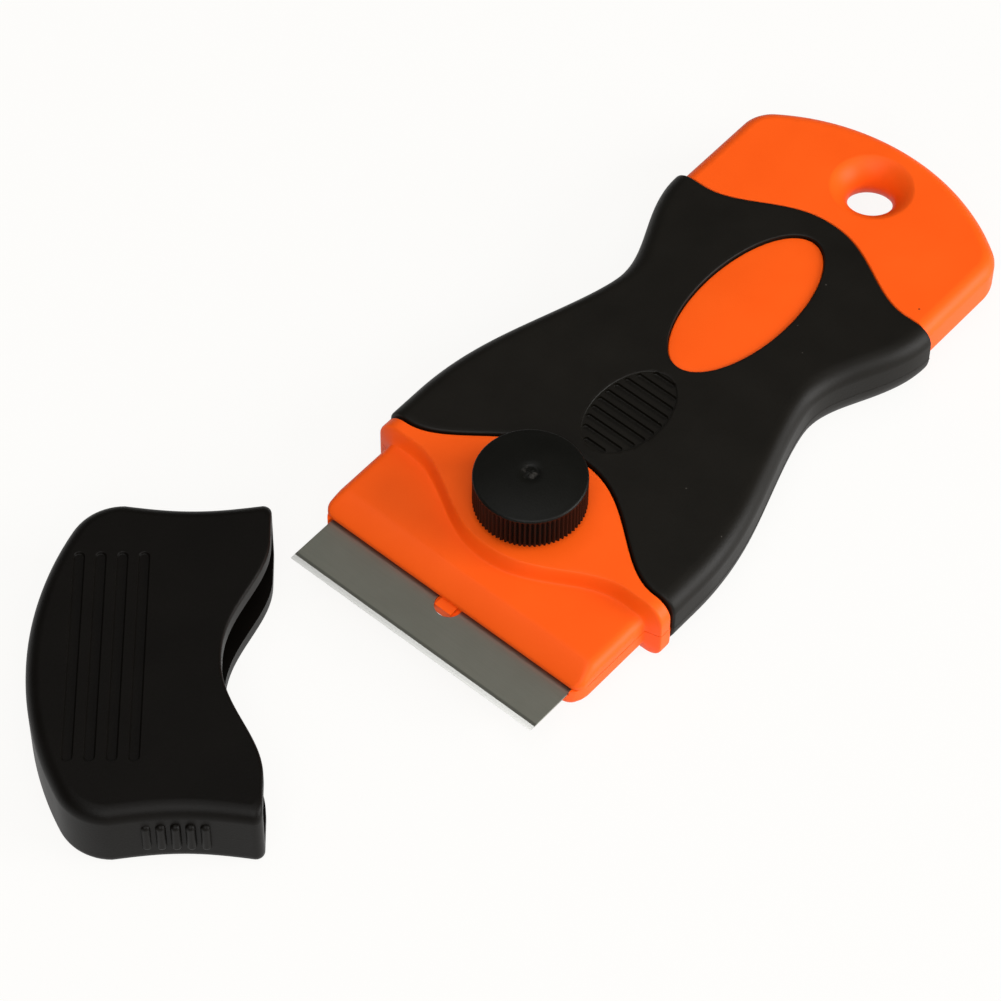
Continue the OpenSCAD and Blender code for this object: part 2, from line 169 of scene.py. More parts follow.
def steps(a, b, count):
    return [mix(a, b, k / count) for k in range(count + 1)]


def arc(x, y, r, start, end, count):
    """Points on an arc between two angles in degrees."""
    return [(x + r * math.cos(math.radians(a)), y + r * math.sin(math.radians(a)))
            for a in steps(start, end, count)]


def circle(x, r, count=64, y=0):
    """Points round a circle, which lies on the handle's centre line unless y is given."""
    return arc(x, y, r, 0, 360 - 360 / count, count - 1)


def hexagon(x, flats):
    return circle(x, flats / math.sqrt(3), 6)


def box(x0, x1, half):
    return [(x0, -half), (x1, -half), (x1, half), (x0, half)]


def window(grow, share=1):
    """Oval outline of the grip's window, grown by a margin or drawn in to a share of its size."""
    return [(window_x + (window_len / 2 + grow) * share * c, (window_w / 2 + grow) * share * s)
            for c, s in circle(0, 1, 120)]


def quarter(r, count=8):
    """Inset and drop pairs over a quarter-round edge, from its side up to its face."""
    return [(r * (1 - math.cos(a)), r * (1 - math.sin(a))) for a in steps(0, math.pi / 2, count)]


def mouth(r):
    """Inset and drop pairs over the rounded mouth of a cut, run on a little above its face."""
    edge = quarter(r, 4)[:-1]
    inset, drop = edge[-1]
    run = mouth_run * r
    return edge + [(inset + run, drop - run * math.tan(math.pi / 8))]


def round_levels(low, top, r):
    """Inset and height pairs up a slab with both edges rounded."""
    edge = quarter(r)
    return ([(inset, low + drop) for inset, drop in reversed(edge)]
            + [(inset, top - drop) for inset, drop in edge])


def edge_inset(z, low, top, r):
    """How far a small rounded edge has drawn in at a height between two faces."""
    near = max(0, r - min(z - low, top - z))
    return r - math.sqrt(max(0, r * r - near * near))


def choose(*pieces):
    bpy.ops.object.select_all(action="DESELECT")
    for piece in pieces:
        piece.select_set(True)
    bpy.context.view_layer.objects.active = pieces[0]


def loft(name, rows, closed=True):
    """Skin through rows of points in millimetres, doubles merged and open ends filled."""
    count = len(rows[0])
    bpy.ops.mesh.primitive_grid_add(x_subdivisions=count - 1 + closed, y_subdivisions=len(rows) - 1)
    piece = bpy.context.object
    piece.name = piece.data.name = name
    points = [row[i % count] for row in rows for i in range(count + closed)]
    for vertex, point in zip(piece.data.vertices, points, strict=True):
        vertex.co = point
    bpy.ops.object.mode_set(mode="EDIT")
    bpy.ops.mesh.select_all(action="SELECT")
    bpy.ops.mesh.remove_doubles(threshold=0.001)
    bpy.ops.mesh.fill_holes(sides=0)
    bpy.ops.mesh.normals_make_consistent(inside=False)
    bpy.ops.object.mode_set(mode="OBJECT")
    return piece


def stack(name, levels):
    """Solid through plan outlines, each given with its height."""
    return loft(name, [[(x, y, z) for x, y in outline] for outline, z in levels])


def prism(name, outline, low, top):
    return stack(name, [(outline, low), (outline, top)])


def change(piece, operation, tool):
    """Boolean of a piece with a tool, which is used up."""
    step = piece.modifiers.new(operation, "BOOLEAN")
    step.operation = operation
    step.solver = "EXACT"
    step.object = tool
    choose(piece)
    bpy.ops.object.modifier_apply(modifier=step.name)
    bpy.data.objects.remove(tool)


def section(half, top, r):
    """Outline over a section from its -Y foot to its +Y foot, as pairs of Y and height."""
    side = [(-half, 0), (-half, (top - r) / 2)]
    side += [(inset - half, top - drop) for inset, drop in quarter(r)]
    face = [((half - r) * t, top) for t in steps(-1, 1, face_steps)[1:-1]]
    return side + face + [(-y, h) for y, h in reversed(side)]


def jaw_and_collar(name, meet, turn, lead, nose, power, lip, corner, gap):
    """Half of the jaw with its half of the collar, in rows from the nose back to the grip."""
    jaw_h = jaw_face - turn * (meet - mid_z)
    collar_h = collar_face - turn * (meet - mid_z)
    nose_x = jaw_x - lead
    jaw_start = nose_x + nose
    rows = []

    def row(line, half, top, r):
        rows.append([(line(y), y, meet + turn * h) for y, h in section(half, top, r)])

    def width(x):
        short = max(0, corner - (x - nose_x))
        return jaw_half - corner + math.sqrt(corner ** 2 - short ** 2)

    row(lambda y: nose_x, width(nose_x) - fine_edge, 0, 0)
    for a in steps(0, math.pi / 2, 18):
        x = nose_x + nose * (1 - math.cos(a))
        top = lip + (jaw_h - lip) * (1 - math.cos(a) ** power) ** (1 / power)
        row(lambda y: x, width(x), top, jaw_edge * top / jaw_h)
    for t in steps(0, 1, 16)[1:-1]:
        row(lambda y: mix(jaw_start, step_line(y) - step_run, t),
            width(mix(jaw_start, step_x - step_run, t)), jaw_h, jaw_edge)
    for t in steps(0, 1, 20):
        row(lambda y: step_line(y) + step_run * (2 * t - 1),
            mix(jaw_half, collar_half, ease(t / ear_share)),
            mix(jaw_h, collar_h, ease(t)), mix(jaw_edge, collar_edge, ease(t)))
    for t in steps(0, 1, 12)[1:]:
        row(lambda y: mix(step_line(y) + step_run, front_line(y) - gap - fine_edge, t),
            collar_half, collar_h, collar_edge)
    for inset, drop in reversed(quarter(fine_edge, 4)[:-1]):
        row(lambda y: front_line(y) - gap - inset, collar_half - drop, collar_h - drop, collar_edge)
    row(lambda y: front_line(y) - gap, collar_half - 2 * fine_edge, 0, 0)
    return loft(name, rows, closed=False)


def tongue_outline(wall, front_gap, rear_gap):
    """Plan of the tongue inside the grip, at a wall's distance from the grip's sides."""
    front, rear = collar_x + front_gap, heel_x + rear_gap
    front_y, rear_y = grip_side(front) - wall, grip_side(rear) - wall
    side = steps(rear, front, 40)[1:-1]
    return ([(rear_line(y) + rear_gap, y) for y in steps(-rear_y, rear_y, 40)]
            + [(x, grip_side(x) - wall) for x in side]
            + [(front_line(y) + front_gap, y) for y in steps(front_y, -front_y, 40)]
            + [(x, wall - grip_side(x)) for x in reversed(side)])


def tongue(grow):
    """The tongue's three slabs, grown by a margin."""
    wall = grip_wall - grow
    neck = 2 * grip_wall - grow
    top = grip_high.z - grip_skin
    slabs = (
        (tongue_outline(wall, wall, -wall), grip_skin, top),
        (tongue_outline(neck, neck, weld), butt_low + link_step, top - link_step),
        (box(collar_x - weld, collar_x + front_reach + neck, link_half + grow),
         grip_skin + link_step, part_z - link_step),
    )
    return [prism("tongue", plan, low - grow, high + grow) for plan, low, high in slabs]


def arched_end(x, half, arch, corner, inset):
    """Arched end with rounded corners, from its -Y side round to its +Y side."""
    run = math.sqrt((arch - corner) ** 2 - (half - corner) ** 2)
    turn = math.degrees(math.atan2(half - corner, run))
    return (arc(x - arch + run, corner - half, corner - inset, -90, -turn, 12)
            + arc(x - arch, 0, arch - inset, -turn, turn, 48)[1:-1]
            + arc(x - arch + run, half - corner, corner - inset, turn, 90, 12))


def butt_outline(inset, z):
    half = butt_half - inset
    gap = seam + edge_inset(z, butt_low, butt_top, fine_edge)
    return (arched_end(core_high.x, butt_half, butt_arch, butt_corner, inset)
            + [(rear_line(y) + gap, y) for y in steps(half, -half, 60)])


def pad_levels():
    """Both domed faces of the window pad, from the lowest point up to the highest."""
    rim = pad_face - pad_crown
    face = [(window(-inset), rim - drop) for inset, drop in quarter(pad_rim, 4)]
    face += [(window(-pad_rim, share), pad_face - pad_crown * share ** 2)
             for share in steps(1, 0, 12)[1:]]
    return ([(outline, mid_z - h) for outline, h in reversed(face)]
            + [(outline, mid_z + h) for outline, h in face])


def hole_levels():
    """The hanging hole's straight throat, flared to soft rims at both faces of the butt."""
    middle = (butt_low + butt_top) / 2
    rise = (butt_top - butt_low) / 2 - hole_throat
    flare = [(hole_r + hole_flare * (1 - (1 - math.sin(a) ** hole_power) ** (1 / hole_power)),
              hole_throat + rise * math.sin(a)) for a in steps(0, math.pi / 2, 16)]
    flare.append((hole_r + hole_flare, hole_throat + rise + over))
    return ([(circle(hole_x, r, 72), middle - h) for r, h in reversed(flare)]
            + [(circle(hole_x, r, 72), middle + h) for r, h in flare])


class Wire:
    """A node's output. An operator on it adds a Math node beside it."""

    def __init__(self, nodes, socket):
        self.nodes = nodes
        self.socket = socket

    def math(self, operation, a, b):
        return self.nodes.add("ShaderNodeMath", {"operation": operation}, {0: a, 1: b})

    def __add__(self, other):
        return self.math("ADD", self, other)

    def __radd__(self, other):
        return self.math("ADD", other, self)

    def __sub__(self, other):
        return self.math("SUBTRACT", self, other)

    def __rsub__(self, other):
        return self.math("SUBTRACT", other, self)

    def __mul__(self, other):
        return self.math("MULTIPLY", self, other)

    def __rmul__(self, other):
        return self.math("MULTIPLY", other, self)

    def __lt__(self, other):
        return self.math("LESS_THAN", self, other)

    def __gt__(self, other):
        return self.math("GREATER_THAN", self, other)


class Nodes:
    """A node tree that is written as Python expressions."""

    def __init__(self, tree):
        self.tree = tree
        tree.nodes.clear()

    def add(self, kind, settings, sockets, output=0):
        """Adds a node of a kind: its settings first, then its sockets' values or links."""
        made = self.tree.nodes.new(kind)
        for name, value in settings.items():
            setattr(made, name, value)
        for key, value in sockets.items():
            named = [s for s in made.inputs if s.enabled and s.name == key]
            socket = named[0] if named else made.inputs[key]
            if isinstance(value, Wire):
                self.tree.links.new(value.socket, socket)
            else:
                socket.default_value = value
        outputs = [s for s in made.outputs if s.enabled]
        return Wire(self, outputs[output]) if outputs else None

    def place(self):
        """Object coordinates, which are the part's own frame in metres."""
        return self.add("ShaderNodeTexCoord", {}, {}, 3)

    def noise(self, vector, size, detail=2.0):
        """Noise whose lumps are about a size in millimetres."""
        return self.add("ShaderNodeTexNoise", {},
                        {"Vector": vector, "Scale": 1 / (size * MM), "Detail": detail})

    def ramp(self, value, low, high):
        """Smooth step from 0 at low to 1 at high."""
        return self.add("ShaderNodeMapRange", {"interpolation_type": "SMOOTHSTEP"},
                        {"Value": value, "From Min": low, "From Max": high})

    def blend(self, factor, a, b):
        return self.add("ShaderNodeMix", {"data_type": "RGBA"}, {"Factor": factor, "A": a, "B": b})

    def specks(self, vector, spacing, size, share):
        """Scattered round specks on a share of the cells: 1 inside a speck, 0 outside."""
        cells = {"Vector": vector, "Scale": 1 / (spacing * MM)}
        near = self.add("ShaderNodeTexVoronoi", {}, cells)
        pick = self.add("ShaderNodeSeparateColor", {},
                        {"Color": self.add("ShaderNodeTexVoronoi", {}, cells, 1)})
        return (near < size / spacing) * (pick < share)

    def bump(self, height, depth):
        return self.add("ShaderNodeBump", {}, {"Height": height, "Distance": depth * MM})

    def principled(self, sockets):
        shader = self.add("ShaderNodeBsdfPrincipled", {}, sockets)
        self.add("ShaderNodeOutputMaterial", {}, {"Surface": shader})


def finish(name):
    material = bpy.data.materials.new(name)
    material.use_nodes = True
    return material, Nodes(material.node_tree)


def orange_plastic():
    """Satin moulded plastic with faint flow marks, a fine grain and a few dark specks."""
    material, nodes = finish("orange_plastic")
    place = nodes.place()
    flow = nodes.noise(place, size=9)
    grain = nodes.noise(place, size=0.22, detail=3.0)
    colour = nodes.blend(flow, (0.88, 0.088, 0.003, 1), (0.96, 0.112, 0.007, 1))
    dirt = nodes.specks(place, spacing=9, size=0.16, share=0.12)
    nodes.principled({
        "Base Color": nodes.blend(dirt, colour, (0.25, 0.03, 0.005, 1)),
        "Roughness": 0.42 + 0.1 * grain,
        "Specular IOR Level": 0.16,
        "Normal": nodes.bump(grain, depth=0.012),
    })
    return material


def dress(piece, material, body, node, crease=33):
    """Brings a piece to metres, smooths it, gives it its material and body, and hides the imported
    node it stands for.
    """
    choose(piece)
    piece.scale = (MM, MM, MM)
    bpy.ops.object.transform_apply()
    piece.data.materials.clear()
    piece.data.materials.append(material)
    bpy.ops.object.shade_smooth_by_angle(angle=math.radians(crease))
    even = piece.modifiers.new("even", "WEIGHTED_NORMAL")
    even.keep_sharp = True
    bpy.ops.object.modifier_apply(modifier=even.name)
    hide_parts(node)
    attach(piece, body)


core = jaw_and_collar("core_moulding", meet=part_z, turn=-1, lead=jaw_lead, nose=jaw_edge,
                      power=jaw_nose_power, lip=jaw_lip, corner=jaw_corner, gap=seam)
for slab in tongue(0):
    change(core, "UNION", slab)
change(core, "UNION", stack("pad", pad_levels()))
change(core, "UNION", stack("butt", [(butt_outline(inset, z), z)
                                     for inset, z in round_levels(butt_low, butt_top, butt_edge)]))
recess = box(blade_low.x, blade_high.x + blade_room, blade_high.y + blade_room)
change(core, "DIFFERENCE", prism("recess", recess, blade_low.z, part_z + over))
change(core, "DIFFERENCE", prism("bore", circle(stud_x, stud_bore), -over, part_z + over))
change(core, "DIFFERENCE", prism("pocket", hexagon(stud_x, pocket_flats), -over, pocket_top))
change(core, "DIFFERENCE", stack("hole", hole_levels()))
peg = box(jaw_x - peg_half, jaw_x + peg_half, peg_half)
change(core, "UNION", prism("peg", peg, blade_low.z - weld, peg_top))
orange = orange_plastic()
dress(core, orange, "handle", "handle_core")

# Rubber grip
# Soft black rubber moulded round the core as a second shot, matte and a little dusty. An oval
# window in each face lets the core's pad show, and a grooved oval on top gives the thumb a hold.
grip_edge = 2.4
grip_low_edge = 5
grip_flash = 0.05
grip_lip = 0.35
grip_fit = 0.02
grip_close = 0.99
window_rim = 0.2
thumb_x = -0.4
thumb_len = 14.6
thumb_w = 9
thumb_sink = 0.14
thumb_rim = 0.1
thumb_grooves = 10
thumb_pitch = 1.5
thumb_depth = 0.6
groove_half = 0.42
groove_round = 0.14


def grip_ring(t, shift, drop, closing=False):
    """Section round the grip at a share of its length, or the middle line that closes its end."""
    half = grip_side(mix(collar_x, heel_x, t)) - drop
    reach = mid_z - drop

    def over_face(r):
        side = [(-half - grip_flash, 0), (-half, grip_flash)]
        side += [(inset - half, reach - fall) for inset, fall in quarter(r, 12)]
        face = [((half - r) * share, reach) for share in steps(-1, 1, face_steps)[1:-1]]
        return side + face + [(-y, h) for y, h in reversed(side)]

    upper, lower = over_face(grip_edge), over_face(min(grip_low_edge, reach - 2 * grip_flash))
    if closing:
        upper = lower = [(grip_close * y, 0) for y, h in upper]
    return [(mix(front_line(y) + seam, rear_line(y) - seam, t) + shift, y, mid_z + h)
            for y, h in upper + [(y, -h) for y, h in reversed(lower[1:-1])]]


def grip_rings():
    """Rings from the collar back to the heel, with a rounded lip at both ends."""
    lip = quarter(grip_lip, 4)
    rings = [grip_ring(0, inset, drop) for inset, drop in lip]
    rings += [grip_ring(t, mix(grip_lip, -grip_lip, t), 0) for t in steps(0, 1, 84)[1:-1]]
    rings += [grip_ring(1, -inset, drop) for inset, drop in reversed(lip)]
    return [grip_ring(0, 0, grip_lip, True)] + rings + [grip_ring(1, 0, grip_lip, True)]


def window_levels():
    """Cutter for the window through both faces, its mouths rounded."""
    upper = [(window(seam + inset), grip_high.z - drop) for inset, drop in mouth(window_rim)]
    return [(outline, 2 * mid_z - z) for outline, z in reversed(upper)] + upper


def stadium(x, half_len, r):
    """Slot outline across the handle with round ends."""
    return arc(x, half_len - r, r, 0, 180, 12) + arc(x, r - half_len, r, 180, 360, 12)


def slot_cutter(x, half_len, r, top, depth, edge):
    """Cutter for one slot with a rounded floor and mouth."""
    floor = [(r - inset, top - depth + drop) for inset, drop in reversed(quarter(edge, 4))]
    rim = [(r + inset, top - drop) for inset, drop in mouth(edge)]
    return stack("slot", [(stadium(x, half_len + wide - r, wide), z) for wide, z in floor + rim])


def thumb_levels():
    """Cutter for the shallow oval that the thumb patch's ribs stand in."""
    half_len, half_w = thumb_len / 2 + thumb_rim, thumb_w / 2 + thumb_rim
    levels = [(0, thumb_sink)]
    levels += [(inset, drop) for inset, drop in mouth(groove_round) if drop < thumb_sink]
    return [([(thumb_x + (half_len + inset) * c, (half_w + inset) * s)
              for c, s in circle(0, 1, 96)], grip_high.z - drop) for inset, drop in levels]


def joined(pieces):
    choose(*pieces)
    bpy.ops.object.join()
    return pieces[0]


def grip_rubber():
    """Matte soft-touch rubber, a little mottled, with fine light dust."""
    material, nodes = finish("grip_rubber")
    place = nodes.place()
    cloud = nodes.noise(place, size=7, detail=3.0)
    grain = nodes.noise(place, size=0.3, detail=3.0)
    dust = nodes.specks(place, spacing=2.6, size=0.1, share=0.3)
    colour = nodes.blend(cloud, (0.0032, 0.0024, 0.0012, 1), (0.0064, 0.0051, 0.0031, 1))
    nodes.principled({
        "Base Color": nodes.blend(0.6 * dust, colour, (0.09, 0.08, 0.07, 1)),
        "Roughness": 0.42 + 0.16 * cloud,
        "Specular IOR Level": 0.18,
        "Normal": nodes.bump(grain, depth=0.02),
    })
    return material


grip = loft("rubber_grip", grip_rings())
change(grip, "DIFFERENCE", stack("opening", window_levels()))
for slab in tongue(grip_fit):
    change(grip, "DIFFERENCE", slab)
slots = []
for k in range(thumb_grooves):
    x = thumb_pitch * (k - (thumb_grooves - 1) / 2)
    chord = thumb_w * math.sqrt(1 - (2 * x / thumb_len) ** 2)
    slots.append(slot_cutter(thumb_x + x, chord / 2, groove_half, grip_high.z, thumb_depth,
                             groove_round))
change(grip, "DIFFERENCE", stack("patch", thumb_levels()))
change(grip, "DIFFERENCE", joined(slots))
dress(grip, grip_rubber(), "handle", "grip_overmold")

# Captive nut
# Thin zinc-plated steel nut that sits in the hexagonal pocket of the underside, where the knob's
# stud finds it. Its corners are chamfered and its bore has the stud's thread.
thread_pitch = 0.8
thread_r = 2.5
thread_root = 2.02
thread_room = 0.05
thread_steep = 1.6
thread_flat = 0.3
turned_face = 0.97
turned_corner = 1.16
nut_flats = nut_high.y - nut_low.y
nut_chamfer = 0.45
countersink = 0.35


def thread_radius(z, angle, grow):
    """Radius of the right-hand thread at a height and an angle in degrees."""
    phase = (z / thread_pitch - angle / 360) % 1
    flank = min(max(thread_steep * abs(2 * phase - 1) - thread_flat, 0), 1)
    return mix(thread_root, thread_r, flank) + grow


def threaded(name, low, top, grow, limit):
    """Threaded rod between two heights, with its radius limited by a rule of the height."""
    turns = steps(0, 360, 48)[:-1]
    heights = steps(low, top, math.ceil(12 * (top - low) / thread_pitch))
    rows = []
    for z in heights:
        radii = [limit(z, thread_radius(z, a, grow)) for a in turns]
        rows.append([(stud_x + r * math.cos(math.radians(a)), r * math.sin(math.radians(a)), z)
                     for a, r in zip(turns, radii)])
    return loft(name, rows)


def chamfered_hexagon(name, flats, low, top, chamfer):
    """Hexagon whose corners are turned off at both faces."""
    turns = steps(0, 360, 96)[:-1]
    levels = []
    for z in steps(low, low + chamfer, 8) + steps(top - chamfer, top, 8):
        cone = flats / 2 * mix(turned_face, turned_corner, min(z - low, top - z) / chamfer)
        radii = [min(cone, flats / 2 / math.cos(math.radians(a % 60 - 30))) for a in turns]
        levels.append(([(stud_x + r * math.cos(math.radians(a)), r * math.sin(math.radians(a)))
                        for a, r in zip(turns, radii)], z))
    return stack(name, levels)


def zinc_steel():
    """Bright zinc plating with a faint cloud of tarnish and fine tool marks."""
    material, nodes = finish("zinc_steel")
    place = nodes.place()
    tarnish = nodes.noise(place, size=2.5, detail=4.0)
    marks = nodes.noise(place, size=0.12)
    nodes.principled({
        "Base Color": nodes.blend(tarnish, (0.56, 0.56, 0.55, 1), (0.68, 0.68, 0.64, 1)),
        "Metallic": 1.0,
        "Roughness": 0.24 + 0.18 * tarnish,
        "Normal": nodes.bump(marks, depth=0.006),
    })
    return material


nut = chamfered_hexagon("hex_nut", nut_flats, nut_low.z, nut_high.z, nut_chamfer)
change(nut, "DIFFERENCE", threaded(
    "tap", nut_low.z - over, nut_high.z + over, thread_room,
    lambda z, r: max(r, thread_r + countersink - max(0, min(z - nut_low.z, nut_high.z - z)))))
zinc = zinc_steel()
dress(nut, zinc, "handle", "captive_nut")

# Scraper blade
# Flat single-edge blade of hardened steel, brushed along its length and ground to two bevels at its
# edge. It lies in the lower jaw's recess, and the jaw's square peg stands in its round hole.
blade_hole = 1.85
grind = 0.72
hone = 0.3
hone_drop = 0.06
edge_drop = 0.125
grind_soft = 0.05
# Where the painted shade line behind the grind line starts and ends.
shade_line_from = 0.3
shade_line_to = 0.55


def blade_steel():
    """Fine-brushed steel, grey on its flats, bright on its bevels, with a painted shade line on the
    flat just behind the grind line.
    """
    material, nodes = finish("blade_steel")
    place = nodes.place()
    spread = nodes.add("ShaderNodeMapping", {}, {"Vector": place, "Scale": (1, 0.02, 1)})
    brush = nodes.noise(spread, size=0.07, detail=3.0)
    cloud = nodes.noise(place, size=6)
    along = nodes.add("ShaderNodeSeparateXYZ", {}, {"Vector": place})
    line = blade_low.x + grind
    behind = nodes.ramp(along, (line - grind_soft) * MM, (line + grind_soft) * MM)
    ground = 1 - behind
    # Painted shade: a dark line on the flat just behind the grind line, standing in for the shadow
    # at the bevel's turn.
    painted_shade_line = behind * (1 - nodes.ramp(along, (line + shade_line_from) * MM, (line + shade_line_to) * MM))
    flat = nodes.blend(0.5 * brush + 0.5 * cloud, (0.25, 0.25, 0.205, 1), (0.35, 0.35, 0.295, 1))
    shaded = nodes.blend(0.6 * painted_shade_line, flat, (0.1, 0.1, 0.085, 1))
    nodes.principled({
        "Base Color": nodes.blend(ground, shaded, (0.72, 0.72, 0.69, 1)),
        "Metallic": 1.0,
        "Roughness": 0.34 + 0.1 * brush - 0.08 * ground,
        "Normal": nodes.bump(brush, depth=0.004),
    })
    return material


blade_thick = blade_high.z - blade_low.z
blade_side = [
    (blade_low.x, blade_thick - edge_drop),
    (blade_low.x + hone, blade_thick - hone_drop),
    (blade_low.x + grind, blade_thick),
    (blade_high.x, blade_thick),
    (blade_high.x, 0),
    (blade_low.x + grind, 0),
    (blade_low.x + hone, hone_drop),
]
blade = loft("scraper_blade", [[(x, y, blade_low.z + h) for x, h in blade_side]
                               for y in (blade_low.y, blade_high.y)])
change(blade, "DIFFERENCE", prism("hole", circle(jaw_x, blade_hole), blade_low.z - over,
                                  blade_high.z + over))
dress(blade, blade_steel(), "handle", "blade", crease=4)

# Clamp plate
# The upper jaw and its half of the collar, one orange moulding that the knob pulls down. A pad
# under it presses on the blade, and a notch clears the peg.
clamp_gap = 0.12
slide_gap = 0.2
press_gap = 0.03
plate_nose = 3.2
plate_nose_power = 1.25
plate_lip = 0.5
plate_corner = 1.4
pad_back = 0.4
pad_half = blade_high.y - plate_corner - blade_room
notch_half = peg_half + 0.15
notch_top = peg_top + 0.15

plate_low = part_z + clamp_gap
plate = jaw_and_collar("jaw_plate", meet=plate_low, turn=1, lead=0, nose=plate_nose,
                       power=plate_nose_power, lip=plate_lip, corner=plate_corner, gap=slide_gap)
press = box(jaw_x + pad_back, blade_high.x - blade_room, pad_half)
change(plate, "UNION", prism("press", press, blade_high.z + press_gap, plate_low + plate_lip / 2))
notch = box(jaw_x - notch_half, jaw_x + notch_half, notch_half)
change(plate, "DIFFERENCE", prism("notch", notch, blade_low.z, notch_top))
change(plate, "DIFFERENCE", prism("bore", circle(stud_x, stud_bore), blade_low.z,
                                  clamp_high.z + over))
dress(plate, orange, "clamp", "clamp_plate")

# Threaded stud
# M5 zinc-plated stud whose hexagonal head is moulded into the knob. It runs down through both jaws
# into the nut.
head_flats = 8
head_low = stud_high.z - 2.6
head_chamfer = 0.3
tip_chamfer = 0.6
shank_low = 9.4

stud = threaded("threaded_stud", stud_low.z, head_low + weld, 0, lambda z, r: (
    thread_r if z > shank_low else min(r, thread_r - tip_chamfer + (z - stud_low.z))))
change(stud, "UNION", chamfered_hexagon("head", head_flats, head_low, stud_high.z, head_chamfer))
dress(stud, zinc, "knob", "knob_stud")

# Thumb knob
# Black satin plastic, moulded round the stud's head, with fine ribs under a smooth rim and a
# broken-off gate in the middle of its crowned top. It turns down on the collar and clamps the
# plate.
knob_low, knob_high = corners("knob")
knob_r = (knob_high.y - knob_low.y) / 2
knob_ribs = 72
rib_points = 6
rib_depth = 0.28
rib_power = 1.4
hub_r = 4.8
rim_z = knob_low.z + 0.8
knob_edge = 0.35
knob_crown = 0.55
rib_fade = 0.4
gate_r = 1.25
gate_flat = 0.8
gate_depth = 0.13
stub_r = 0.8
stub_flat = 0.5
stub_high = 0.12
stub_mean = 0.6
stub_waves = ((0.25, 3, 4, 0), (0.15, 7, 0, 1))
head_fit = 0.02
knob_turns = [2 * math.pi * k / (knob_ribs * rib_points) for k in range(knob_ribs * rib_points)]


def knob_ring(r, depth, z):
    """Ring round the knob, with the valleys between its ribs cut to a depth."""
    points = []
    for a in knob_turns:
        out = r - depth * ((1 - math.cos(knob_ribs * a)) / 2) ** rib_power
        points.append((stud_x + out * math.cos(a), out * math.sin(a), z))
    return points


def gate_ring(r):
    """Ring across the sunk gate mark, with the torn stub in its middle."""
    points = []
    sunk = gate_depth * (1 - ease((r / gate_r - gate_flat) / (1 - gate_flat)))
    stub = stub_high * (1 - ease((r / stub_r - stub_flat) / (1 - stub_flat)))
    for a in knob_turns:
        waves = sum(size * math.sin(count * a + twist * r + phase)
                    for size, count, twist, phase in stub_waves)
        torn = stub_mean + waves * min(1, 2 * r)
        points.append((stud_x + r * math.cos(a), r * math.sin(a), knob_high.z - sunk + stub * torn))
    return points


def knob_rings():
    """Rings from the hub's underside up over the ribbed rim to the gate mark."""
    face_r = knob_r - knob_edge
    rim_top = knob_high.z - knob_crown
    rings = [knob_ring(0, 0, knob_low.z), knob_ring(hub_r - fine_edge, 0, knob_low.z)]
    rings += [knob_ring(hub_r, 0, z) for z in (knob_low.z + fine_edge, rim_z)]
    rings += [knob_ring(knob_r - 2 * rib_depth, 0, rim_z)]
    rings += [knob_ring(knob_r, rib_depth, z)
              for z in steps(rim_z + fine_edge, rim_top - knob_edge - rib_fade, 6)]
    rings += [knob_ring(knob_r, rib_depth * (1 - ease(t)), rim_top - knob_edge - rib_fade * (1 - t))
              for t in steps(0, 1, 4)[1:-1]]
    rings += [knob_ring(knob_r - inset, 0, rim_top - drop) for inset, drop in quarter(knob_edge, 6)]
    rings += [knob_ring(r, 0, rim_top + knob_crown * (1 - ((r - gate_r) / (face_r - gate_r)) ** 2))
              for r in steps(face_r, gate_r, 8)[1:]]
    rings += [gate_ring(r) for r in steps(gate_r, 0, 12)[1:]]
    return rings


def knob_black():
    """Satin black plastic, rough and greyish where the gate was torn off."""
    material, nodes = finish("knob_black")
    place = nodes.place()
    cloud = nodes.noise(place, size=4, detail=3.0)
    grain = nodes.noise(place, size=0.25, detail=3.0)
    from_stud = nodes.add("ShaderNodeMapping", {}, {
        "Vector": place, "Location": (-stud_x * MM, 0, 0), "Scale": (1, 1, 0)})
    radius = nodes.add("ShaderNodeVectorMath", {"operation": "LENGTH"}, {"Vector": from_stud})
    chips = nodes.ramp(nodes.noise(place, size=0.6), 0.5, 0.62)
    torn = (1 - nodes.ramp(radius, 0.7 * gate_r * MM, gate_r * MM)) * chips
    colour = nodes.blend(cloud, (0.0018, 0.0018, 0.001, 1), (0.0036, 0.0034, 0.0022, 1))
    nodes.principled({
        "Base Color": nodes.blend(0.4 * torn, colour, (0.05, 0.045, 0.04, 1)),
        "Roughness": 0.4 + 0.1 * cloud,
        "Specular IOR Level": 0.16,
        "Normal": nodes.bump(grain, depth=0.02),
    })
    return material


knob = loft("thumb_knob", knob_rings())
change(knob, "DIFFERENCE", prism("socket", hexagon(stud_x, head_flats + 2 * head_fit),
                                 head_low - head_fit, stud_high.z + head_fit))
change(knob, "DIFFERENCE", prism("throat", circle(stud_x, thread_r + head_fit), knob_low.z - over,
                                 head_low + weld))
dress(knob, knob_black(), "knob", "knob")

# Blade cap
# Black slip-on cap that keeps the edge covered in a drawer. It is one hollow moulding whose mouth
# follows the collar, with four long grooves on its upper face and short ribs on both sides.
cap_low, cap_high = corners("blade_cap")
cap_thick = cap_high.z - cap_low.z
cap_base = mid_z - cap_thick / 2
cap_top = mid_z + cap_thick / 2
cap_gap = 0.3
cap_half = collar_half + cap_gap / 2
cap_end = blade_low.x - 9.6
cap_waist = 0.8
cap_arch = 42
cap_corner = 7
cap_edge = 1.9
cap_lip = 0.45
tip_r = 1.1
tip_gap = 1
room_half = jaw_half + cap_gap
cap_ribs = 5
cap_rib_r = 0.62
cap_rib_h = 5
cap_rib_pitch = 1.75
cap_rib_inset = 18.5
cap_grooves = 4
cap_groove_half = 0.62
cap_groove_len = 30
cap_groove_pitch = 2.62
cap_groove_inset = 5.7
cap_groove_depth = 0.32
